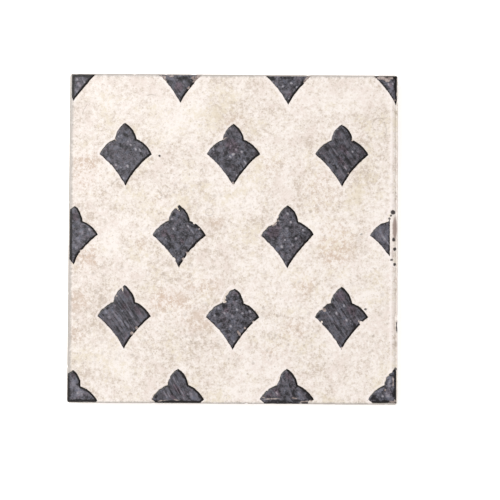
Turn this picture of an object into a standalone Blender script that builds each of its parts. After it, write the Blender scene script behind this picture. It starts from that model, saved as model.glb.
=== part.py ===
# Square glazed clay tile, lying on its back with the decorated face up.
# Units are metres. +Z leaves the glazed face, +Y is the way the motifs point, and the
# origin is the middle of the back face.
import math

import bmesh
import bpy
from mathutils import Vector

# The fired slab
TILE_SIDE = 0.200
TILE_THICKNESS = 0.014
CORNER_RADIUS = 0.002

# Rounding of the four top edges; the +X one is rubbed down much wider
ARRIS_RIGHT = 0.0036
ARRIS_LEFT = 0.0013
ARRIS_TOP = 0.0015
ARRIS_BOTTOM = 0.0012
ARRIS_SEGMENTS = 5

# One enamel motif: a pointed petal over two wings and a long foot, mirrored about its own Y
PETAL_TIP = Vector((0.0, 0.0180))
NOTCH = Vector((0.0066, 0.0085))
WING_TIP = Vector((0.0165, 0.0))
FOOT_TIP = Vector((0.0, -0.0200))
PETAL_BULGE = 0.0014
WING_BULGE = 0.0011
FOOT_HOLLOW = -0.0014
ARC_STEPS = 5

# The half-drop lattice that the motifs stand on
COLUMN_STEP = 0.03275
ROW_STEP = 0.0493
MIDDLE_ROW_Y = 0.0025
COLUMNS_EACH_SIDE = 3
ROWS_EACH_SIDE = 2

# The enamel stands a little proud of the glaze and is bedded into it
ENAMEL_RISE = 0.0004
ENAMEL_BED = 0.0010
WELD_DISTANCE = 0.000001

# Colours: red, green, blue, then roughness
CREAM_GLAZE = (0.83, 0.75, 0.68, 0.45)
CHARCOAL_ENAMEL = (0.085, 0.080, 0.090, 0.40)
FIRED_CLAY = (0.52, 0.38, 0.28, 0.85)

HALF = TILE_SIDE / 2


def clear_scene():
    for old in list(bpy.data.objects):
        bpy.data.objects.remove(old, do_unlink=True)


def make_collection(name):
    collection = bpy.data.collections.new(name)
    bpy.context.scene.collection.children.link(collection)
    return collection


def make_material(name, finish):
    material = bpy.data.materials.new(name)
    material.use_nodes = True
    shader = material.node_tree.nodes["Principled BSDF"]
    shader.inputs["Base Color"].default_value = (*finish[:3], 1.0)
    shader.inputs["Roughness"].default_value = finish[3]
    shader.inputs["Metallic"].default_value = 0.0
    return material


def place_box(name, low, high, collection):
    """A box from one corner to the other, from the cube primitive, with its scale applied."""
    bpy.ops.mesh.primitive_cube_add(size=1.0, location=(0, 0, 0))
    box = bpy.context.object
    box.name = name
    middle = (Vector(low) + Vector(high)) / 2
    extent = Vector(high) - Vector(low)
    for vertex in box.data.vertices:
        vertex.co = Vector(a * b for a, b in zip(vertex.co, extent)) + middle
    for owner in list(box.users_collection):
        owner.objects.unlink(box)
    collection.objects.link(box)
    return box


def hide_as_guide(guide):
    guide.hide_render = True
    guide.display_type = "WIRE"


def edge_radius(middle, along):
    """The rounding of one slab edge, from where its middle is and the way it runs."""
    if abs(along.z) > 0.5:
        return CORNER_RADIUS
    if middle.z < TILE_THICKNESS / 2:
        return 0.0
    if abs(along.y) > 0.5:
        return ARRIS_RIGHT if middle.x > 0 else ARRIS_LEFT
    return ARRIS_TOP if middle.y > 0 else ARRIS_BOTTOM


def make_slab(collection, glaze, clay):
    """The slab: a box whose corners and top edges are rounded by weighted bevels."""
    slab = place_box(
        "tile", (-HALF, -HALF, 0.0), (HALF, HALF, TILE_THICKNESS), collection
    )
    mesh = slab.data
    mesh.materials.append(glaze)
    mesh.materials.append(clay)
    for face in mesh.polygons:
        face.material_index = 0 if face.normal.z > 0.5 else 1
    weights = mesh.attributes.new("bevel_weight_edge", "FLOAT", "EDGE")
    widest = max(ARRIS_RIGHT, ARRIS_LEFT, ARRIS_TOP, ARRIS_BOTTOM, CORNER_RADIUS)
    for edge in mesh.edges:
        a, b = (mesh.vertices[i].co for i in edge.vertices)
        radius = edge_radius((a + b) / 2, (b - a).normalized())
        weights.data[edge.index].value = radius / widest
    rounding = slab.modifiers.new("rounded_edges", "BEVEL")
    rounding.limit_method = "WEIGHT"
    rounding.offset_type = "OFFSET"
    rounding.width = widest
    rounding.segments = ARRIS_SEGMENTS
    rounding.use_clamp_overlap = False
    return slab


def arc(start, end, bulge, steps):
    """Points of a circular arc from start up to, but not including, end.

    bulge is the arc's height over its chord, positive to the left of the way it runs."""
    chord = end - start
    left = Vector((-chord.y, chord.x)).normalized()
    radius = chord.length ** 2 / (8 * abs(bulge)) + abs(bulge) / 2
    half_angle = math.asin(chord.length / 2 / radius)
    side = math.copysign(1.0, bulge)
    centre = (start + end) / 2 - left * side * (radius - abs(bulge))
    from_centre = start - centre
    points = []
    for step in range(steps):
        turn = -side * 2 * half_angle * step / steps
        c, s = math.cos(turn), math.sin(turn)
        turned = Vector(
            (from_centre.x * c - from_centre.y * s, from_centre.x * s + from_centre.y * c)
        )
        points.append(centre + turned)
    return points


def motif_outline():
    """The closed outline, clockwise from the petal's tip: three arcs and their mirror image."""
    right = (
        arc(PETAL_TIP, NOTCH, PETAL_BULGE, ARC_STEPS)
        + arc(NOTCH, WING_TIP, WING_BULGE, ARC_STEPS)
        + arc(WING_TIP, FOOT_TIP, FOOT_HOLLOW, ARC_STEPS + 1)
        + [FOOT_TIP]
    )
    left = [Vector((-p.x, p.y)) for p in reversed(right[1:-1])]
    return right + left


def motif_mesh():
    """One motif as a thin closed pad about its own origin, from a filled flat curve."""
    depth = ENAMEL_RISE + ENAMEL_BED
    curve = bpy.data.curves.new("motif_outline", "CURVE")
    curve.dimensions = "2D"
    curve.fill_mode = "BOTH"
    curve.extrude = depth / 2
    outline = motif_outline()
    spline = curve.splines.new("POLY")
    spline.points.add(len(outline) - 1)
    for point, place in zip(spline.points, outline):
        point.co = (place.x, place.y, 0.0, 1.0)
    spline.use_cyclic_u = True
    flat = bpy.data.objects.new("motif_outline", curve)
    bpy.context.scene.collection.objects.link(flat)
    bpy.context.view_layer.update()
    evaluated = flat.evaluated_get(bpy.context.evaluated_depsgraph_get())
    mesh = bpy.data.meshes.new_from_object(evaluated)
    bpy.data.objects.remove(flat, do_unlink=True)
    shape = bmesh.new()
    shape.from_mesh(mesh)
    bmesh.ops.remove_doubles(shape, verts=shape.verts, dist=WELD_DISTANCE)
    bmesh.ops.recalc_face_normals(shape, faces=shape.faces)
    shape.to_mesh(mesh)
    shape.free()
    return mesh


def motif_centres():
    """Every lattice point whose motif reaches the tile's face. Alternate rows are offset."""
    for row in range(-ROWS_EACH_SIDE, ROWS_EACH_SIDE + 1):
        for column in range(-COLUMNS_EACH_SIDE, COLUMNS_EACH_SIDE + 1):
            if (row + column) % 2:
                yield column * COLUMN_STEP, MIDDLE_ROW_Y + row * ROW_STEP


def make_enamel(collection, enamel):
    """All motifs as one set of pads, cut off where the top edges start to round over."""
    pad = motif_mesh()
    level = TILE_THICKNESS + (ENAMEL_RISE - ENAMEL_BED) / 2
    shape = bmesh.new()
    for x, y in motif_centres():
        first_new = len(shape.verts)
        shape.from_mesh(pad)
        shape.verts.ensure_lookup_table()
        bmesh.ops.translate(shape, verts=shape.verts[first_new:], vec=(x, y, level))
    mesh = bpy.data.meshes.new("enamel_pads")
    shape.to_mesh(mesh)
    shape.free()
    bpy.data.meshes.remove(pad)
    mesh.materials.clear()
    mesh.materials.append(enamel)
    pads = bpy.data.objects.new("enamel_pads", mesh)
    collection.objects.link(pads)

    # The box that they are cut to is tall enough to clear them above and below
    field = place_box(
        "enamel_field",
        (-HALF + ARRIS_LEFT, -HALF + ARRIS_BOTTOM, 0.0),
        (HALF - ARRIS_RIGHT, HALF - ARRIS_TOP, 2 * TILE_THICKNESS),
        collection,
    )
    field.data.materials.append(enamel)
    trim = pads.modifiers.new("trim_to_field", "BOOLEAN")
    trim.operation = "INTERSECT"
    trim.object = field
    hide_as_guide(field)
    hide_as_guide(pads)
    return pads


def main():
    clear_scene()
    tile_collection = make_collection("glazed_tile")
    guide_collection = make_collection("guides")
    glaze = make_material("cream_glaze", CREAM_GLAZE)
    enamel = make_material("charcoal_enamel", CHARCOAL_ENAMEL)
    clay = make_material("fired_clay", FIRED_CLAY)
    tile = make_slab(tile_collection, glaze, clay)
    pads = make_enamel(guide_collection, enamel)
    fuse = tile.modifiers.new("fused_enamel", "BOOLEAN")
    fuse.operation = "UNION"
    fuse.material_mode = "TRANSFER"
    fuse.object = pads


main()
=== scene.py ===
import math
import random

import bpy
import numpy as np
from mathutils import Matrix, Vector, noise


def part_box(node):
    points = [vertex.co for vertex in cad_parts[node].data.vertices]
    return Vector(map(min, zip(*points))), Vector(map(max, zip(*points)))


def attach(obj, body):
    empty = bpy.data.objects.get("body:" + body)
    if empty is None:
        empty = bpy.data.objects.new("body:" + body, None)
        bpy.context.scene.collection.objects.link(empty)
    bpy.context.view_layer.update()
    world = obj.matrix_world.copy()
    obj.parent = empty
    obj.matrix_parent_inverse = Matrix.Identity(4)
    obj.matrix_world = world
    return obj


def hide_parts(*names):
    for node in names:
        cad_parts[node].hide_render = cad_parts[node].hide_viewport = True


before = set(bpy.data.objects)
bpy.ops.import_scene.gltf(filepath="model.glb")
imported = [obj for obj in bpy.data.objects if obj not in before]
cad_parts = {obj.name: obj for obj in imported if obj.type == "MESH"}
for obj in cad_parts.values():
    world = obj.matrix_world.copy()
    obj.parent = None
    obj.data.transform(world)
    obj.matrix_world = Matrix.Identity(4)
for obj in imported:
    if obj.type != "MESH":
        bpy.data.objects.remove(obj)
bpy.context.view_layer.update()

# A hand-decorated clay tile: bare clay body, cream glaze over its face, raised dark enamel motifs.
mm = 0.001
tileLow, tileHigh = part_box("tile")
half = tileHigh.x
enamelRise = 0.4 * mm
faceZ = tileHigh.z - enamelRise


# Working tools: selecting, reading and moving points

def deselectEverything():
    if bpy.context.object and bpy.context.object.mode != "OBJECT":
        bpy.ops.object.mode_set(mode="OBJECT")
    bpy.ops.object.select_all(action="DESELECT")


def makeActive(piece):
    deselectEverything()
    piece.select_set(True)
    bpy.context.view_layer.objects.active = piece


def editSelected(piece, kind, test):
    # enters edit mode with only the edges or faces that pass the test
    makeActive(piece)
    bpy.context.tool_settings.mesh_select_mode = (False, kind == "edges", kind == "polygons")
    mesh = piece.data
    for items in (mesh.vertices, mesh.edges, mesh.polygons):
        items.foreach_set("select", [False] * len(items))
    for item in getattr(mesh, kind):
        if test(item):
            item.select = True
            for index in item.vertices:
                mesh.vertices[index].select = True
    bpy.ops.object.mode_set(mode="EDIT")


def selectRim(piece):
    # enters edit mode with the open edges of the piece selected
    uses = {}
    for face in piece.data.polygons:
        for key in face.edge_keys:
            uses[key] = uses.get(key, 0) + 1
    editSelected(piece, "edges", lambda edge: uses.get(edge.key) == 1)


def backToObject():
    bpy.ops.object.mode_set(mode="OBJECT")


def readPoints(piece, kind="co"):
    flat = np.empty(len(piece.data.vertices) * 3)
    piece.data.vertices.foreach_get(kind, flat)
    return flat.reshape(-1, 3)


def writePoints(piece, points):
    piece.data.vertices.foreach_set("co", points.ravel())
    piece.data.update()


def readMask(piece, name):
    values = np.empty(len(piece.data.vertices), np.float32)
    piece.data.attributes[name].data.foreach_get("value", values)
    return values.astype(float)


def writeMask(piece, name, values):
    # a named value on every point, which a material reads by the same name
    layer = piece.data.attributes.get(name) or piece.data.attributes.new(name, "FLOAT", "POINT")
    layer.data.foreach_set("value", np.asarray(values, np.float32))


def waver(points, period, seed):
    # smooth noise from about -1 to 1 whose bumps are roughly one period apart
    return np.array([noise.noise(Vector((x / period, y / period, z / period + seed))) for x, y, z in points])


def swing(points, amount, period, seed):
    # that noise, by the given amount either way
    return amount * waver(points, period, seed)


def swell(points, amount, period, seed):
    # that noise, from nothing to the given amount
    return amount * np.clip(0.5 + 0.5 * waver(points, period, seed), 0, 1)


def capRim(piece, level):
    # the open rim goes straight up or down to one level and is closed there
    selectRim(piece)
    bpy.ops.mesh.extrude_region_move(TRANSFORM_OT_translate={"value": (0, 0, mm)})
    backToObject()
    points = readPoints(piece)
    moved = np.array([v.select for v in piece.data.vertices])
    points[moved, 2] = level
    writePoints(piece, points)
    bpy.ops.object.mode_set(mode="EDIT")
    bpy.ops.mesh.edge_face_add()
    bpy.ops.mesh.select_all(action="SELECT")
    bpy.ops.mesh.normals_make_consistent(inside=False)
    backToObject()


def finishPiece(piece, material, angle=50):
    piece.data.materials.clear()
    piece.data.materials.append(material)
    makeActive(piece)
    bpy.ops.object.shade_smooth_by_angle(angle=math.radians(angle))
    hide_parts("tile")
    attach(piece, "root")


# The slab's outer form, which the clay and the glaze share

slabForm = {
    "right": 3.6 * mm,          # rounding of the top edges; the right one is rubbed down
    "left": 1.3 * mm,
    "top": 1.5 * mm,
    "bottom": 1.2 * mm,
    "corner": 2.0 * mm,         # upright corners
    "segments": 8,
    "nearlySteep": 0.999,       # the share of a rounding at which its fall stops growing
    "longCut": 20 * mm,         # edges of the face longer than this are cut up
    "uprightCut": 2.5 * mm,     # and upright edges longer than this
    # unevenness: how much, its period and its seed
    "hollows": (0.16 * mm, 55 * mm, 3.1),       # slow ones, of a hand-pressed face
    "ripples": (0.03 * mm, 13 * mm, 8.7),
    "sideWaver": (0.20 * mm, 26 * mm, 1.9),
    "beadWaver": (0.35, 24 * mm, 6.3),
    "sideUpright": 0.4,         # how quickly the sides waver going up, against going along
    "sideReach": 4 * mm,        # how far in from a side its wavering starts
    "bead": 0.13 * mm,          # the glaze gathered in a low bead before the rubbed edge
    "beadWidth": 0.75 * mm,
    "beadInset": 4.45 * mm,
    "beadLevel": 0.75,
    "beadMore": 0.25,           # it is higher towards the bottom, below this place
    "beadMoreBelow": -15 * mm,
}


def sideReaches(x, y):
    # how far each point lies beyond each side, minus on the face
    return {"right": x - half, "left": -x - half, "top": y - half, "bottom": -y - half}


def arrisDrop(x, y):
    # how far the rounded top edge has fallen below the face
    drop = np.zeros(len(x))
    for side, reach in sideReaches(x, y).items():
        radius = slabForm[side]
        inward = np.clip(reach + radius, 0, radius * slabForm["nearlySteep"])
        drop = np.maximum(drop, radius - np.sqrt(radius ** 2 - inward ** 2))
    return drop


def beadShare(x):
    # how near each point is to the bead along the right edge, 1 on its crest
    return np.exp(-((x - (half - slabForm["beadInset"])) / slabForm["beadWidth"]) ** 2)


def faceRelief(x, y):
    # slow hollows below the nominal face, and the bead
    flat = np.column_stack((x, y, np.zeros(len(x))))
    sunk = swell(flat, *slabForm["hollows"]) + swell(flat, *slabForm["ripples"])
    strength = slabForm["beadLevel"] + swing(flat * (0, 1, 0), *slabForm["beadWaver"])
    strength += slabForm["beadMore"] * (y < slabForm["beadMoreBelow"])
    return slabForm["bead"] * strength * beadShare(x) - sunk


def glazeLevel(x, y):
    return faceZ + faceRelief(x, y) - arrisDrop(x, y)


def makeSlabShell(name, lowZ, highZ, inset, cuts, sideCuts, bottomRound, openBelow):
    # a box with weighted bevels, then cut into an even grid ring by ring
    deselectEverything()
    width = 2 * (half - inset)
    bpy.ops.mesh.primitive_cube_add(
        size=1, location=(0, 0, (lowZ + highZ) / 2), scale=(width, width, highZ - lowZ)
    )
    shell = bpy.context.object
    shell.name = name
    shell.data.name = name
    bpy.ops.object.transform_apply(location=True, rotation=False, scale=True)
    if openBelow:
        editSelected(shell, "polygons", lambda face: face.normal.z < -0.5)
        bpy.ops.mesh.delete(type="FACE")
        backToObject()

    mesh = shell.data
    weights = mesh.attributes.new("bevel_weight_edge", "FLOAT", "EDGE")
    widest = slabForm["right"]
    middleZ = (lowZ + highZ) / 2
    for edge in mesh.edges:
        a, b = (mesh.vertices[i].co for i in edge.vertices)
        middle, run = (a + b) / 2, b - a
        if abs(run.z) > 0.5 * (highZ - lowZ):
            radius = slabForm["corner"] - inset
        elif middle.z < middleZ:
            radius = bottomRound
        elif abs(run.y) > half:
            radius = slabForm["right" if middle.x > 0 else "left"] - inset
        else:
            radius = slabForm["top" if middle.y > 0 else "bottom"] - inset
        weights.data[edge.index].value = radius / widest
    rounding = shell.modifiers.new("roundedEdges", "BEVEL")
    rounding.limit_method = "WEIGHT"
    rounding.offset_type = "OFFSET"
    rounding.width = widest
    rounding.segments = slabForm["segments"]
    rounding.use_clamp_overlap = False
    makeActive(shell)
    bpy.ops.object.modifier_apply(modifier=rounding.name)

    # in two passes across the face, because one pass makes a hundred cuts at most
    passes = [(axis, slabForm["longCut"], count) for axis in (0, 1) for count in cuts]
    passes.append((2, slabForm["uprightCut"], sideCuts))
    for axis, least, count in passes:
        spots = readPoints(shell)
        editSelected(
            shell, "edges", lambda edge: abs(spots[edge.vertices[0]] - spots[edge.vertices[1]])[axis] > least
        )
        bpy.ops.mesh.subdivide(number_cuts=count)
        backToObject()
    return shell


def waverSides(points):
    # the same slow in-and-out of the four sides for clay and glaze, always inwards
    amount = swell(points * (1, 1, slabForm["sideUpright"]), *slabForm["sideWaver"])
    reach = slabForm["sideReach"]
    for axis in (0, 1):
        nearSide = np.clip((np.abs(points[:, axis]) - half + reach) / reach, 0, 1)
        points[:, axis] -= np.sign(points[:, axis]) * amount * nearSide


# Places where the top edges are chipped: x, y, radius, depth in mm

edgeWear = {
    "chips": [
        (98.4, 36.0, 1.3, 0.5), (98.6, -24.5, 1.6, 0.5), (98.9, -47.5, 2.6, 0.6), (99.0, -52.0, 2.0, 0.6),
        (86.5, 99.5, 1.3, 0.5), (97.8, 97.6, 1.2, 0.5), (-24.5, 99.3, 1.8, 0.55), (99.4, 84.6, 1.6, 0.7),
        (-41.5, 99.2, 1.5, 0.5), (-60.5, 99.5, 1.2, 0.5), (44.5, 99.4, 1.6, 0.5), (12.0, 99.6, 1.0, 0.45),
        (-99.5, 70.2, 1.0, 0.45), (-99.6, -34.0, 1.2, 0.45), (-99.5, 21.5, 0.9, 0.4),
        (-99.3, -78.0, 1.4, 0.5), (-47.5, -99.5, 1.1, 0.45), (8.5, -99.4, 1.5, 0.5),
        (61.0, -99.4, 1.2, 0.45), (93.0, -98.9, 1.6, 0.5),
    ],
    "rims": (0.35, 1.6 * mm, 4.4),      # unevenness of their rims: how much, period and seed
    "steepness": 1.6,
    "depth": 0.55,      # how deep they all are, as a share of the depths above
}


def chipDepth(points):
    # how far in each point is worn, with an uneven rim to every chip
    rough = 1 + swing(points, *edgeWear["rims"])
    depth = np.zeros(len(points))
    for x, y, radius, most in edgeWear["chips"]:
        away = np.hypot(points[:, 0] - x * mm, points[:, 1] - y * mm) / (radius * mm) * rough
        depth = np.maximum(depth, most * mm * np.clip(edgeWear["steepness"] * (1 - away), 0, 1))
    return depth * edgeWear["depth"]


# Clay body

clayForm = {
    "inset": 0.32 * mm,         # the glaze lies this thick over it
    "cuts": (1, 59),
    "sideCuts": 9,
    "bottomRound": 0.5 * mm,
    "backDents": 26,
    "dentArea": 0.92,           # they keep within this share of the back
    "dentRadius": (1.5 * mm, 5.0 * mm),
    "dentDepth": (0.10 * mm, 0.32 * mm),
    "seed": 12,
}


def makeClayBody(material):
    inset = clayForm["inset"]
    body = makeSlabShell(
        "clay_body", tileLow.z, faceZ - inset, inset, clayForm["cuts"], clayForm["sideCuts"],
        clayForm["bottomRound"], False,
    )
    points = readPoints(body)
    upper = points[:, 2] > faceZ / 2
    points[upper, 2] += np.minimum(faceRelief(points[upper, 0], points[upper, 1]), 0)
    waverSides(points)

    # shallow dents in the back, where it lay on the bench to dry
    rng = random.Random(clayForm["seed"])
    area = clayForm["dentArea"]
    onBack = points[:, 2] < 0.1 * mm
    for _ in range(clayForm["backDents"]):
        x = rng.uniform(-area, area) * half
        y = rng.uniform(-area, area) * half
        radius = rng.uniform(*clayForm["dentRadius"])
        depth = rng.uniform(*clayForm["dentDepth"])
        away = np.hypot(points[:, 0] - x, points[:, 1] - y) / radius
        points[:, 2] += np.where(onBack, depth * np.clip(1 - away ** 2, 0, 1) ** 2, 0)
    writePoints(body, points)
    finishPiece(body, material, 60)


# Enamel motifs: a pointed petal over two wings and a long foot, on a half-drop lattice

motifForm = {
    "petalTip": (0.0, 18.0),        # outline corners of the right half, in mm
    "notch": (6.5, 8.3),
    "wingTip": (16.2, -0.4),
    "footTip": (0.0, -20.0),
    "bulges": (1.4, 1.2, -1.3),     # arc heights between them, outwards
    "arcStep": 0.6,
    "cell": 0.33 * mm,
    "rim": 1.0 * mm,                # width of the rounded rim
    "rise": 0.34 * mm,
    "skirt": 0.9 * mm,              # what goes on down into the glaze, outside the outline
    "bed": 0.5 * mm,
    "underside": 0.2 * mm,          # how far the flat underside lies below the lowest rim
    "columnStep": 32.75 * mm,
    "rowStep": 49.3 * mm,
    "middleRowY": 2.5 * mm,
    "shadedTowards": (0.99, 0.12),  # the side of the rim where shade is painted, facing away from the light
    "darkRimWidth": 1.9 * mm,
}

# Each motif: its lattice place, how it is shifted and stretched, and what the hand and wear did to it.
# Places and sizes are in mm from its own middle. A mark (worn, light, dark or warm) is x, y, its half
# length along the brush, its half width across it and, where it doesn't follow the brush, its own angle.
# A bite is x, y and its radius. A pull is x, y, how far it is drawn in x and y, and its reach. A trim is
# how far inside the tile's sides (right, left, top, bottom) the enamel stops.

# borderShade is how strongly shade is painted on the enamel along the tile's rounded sides.
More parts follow.
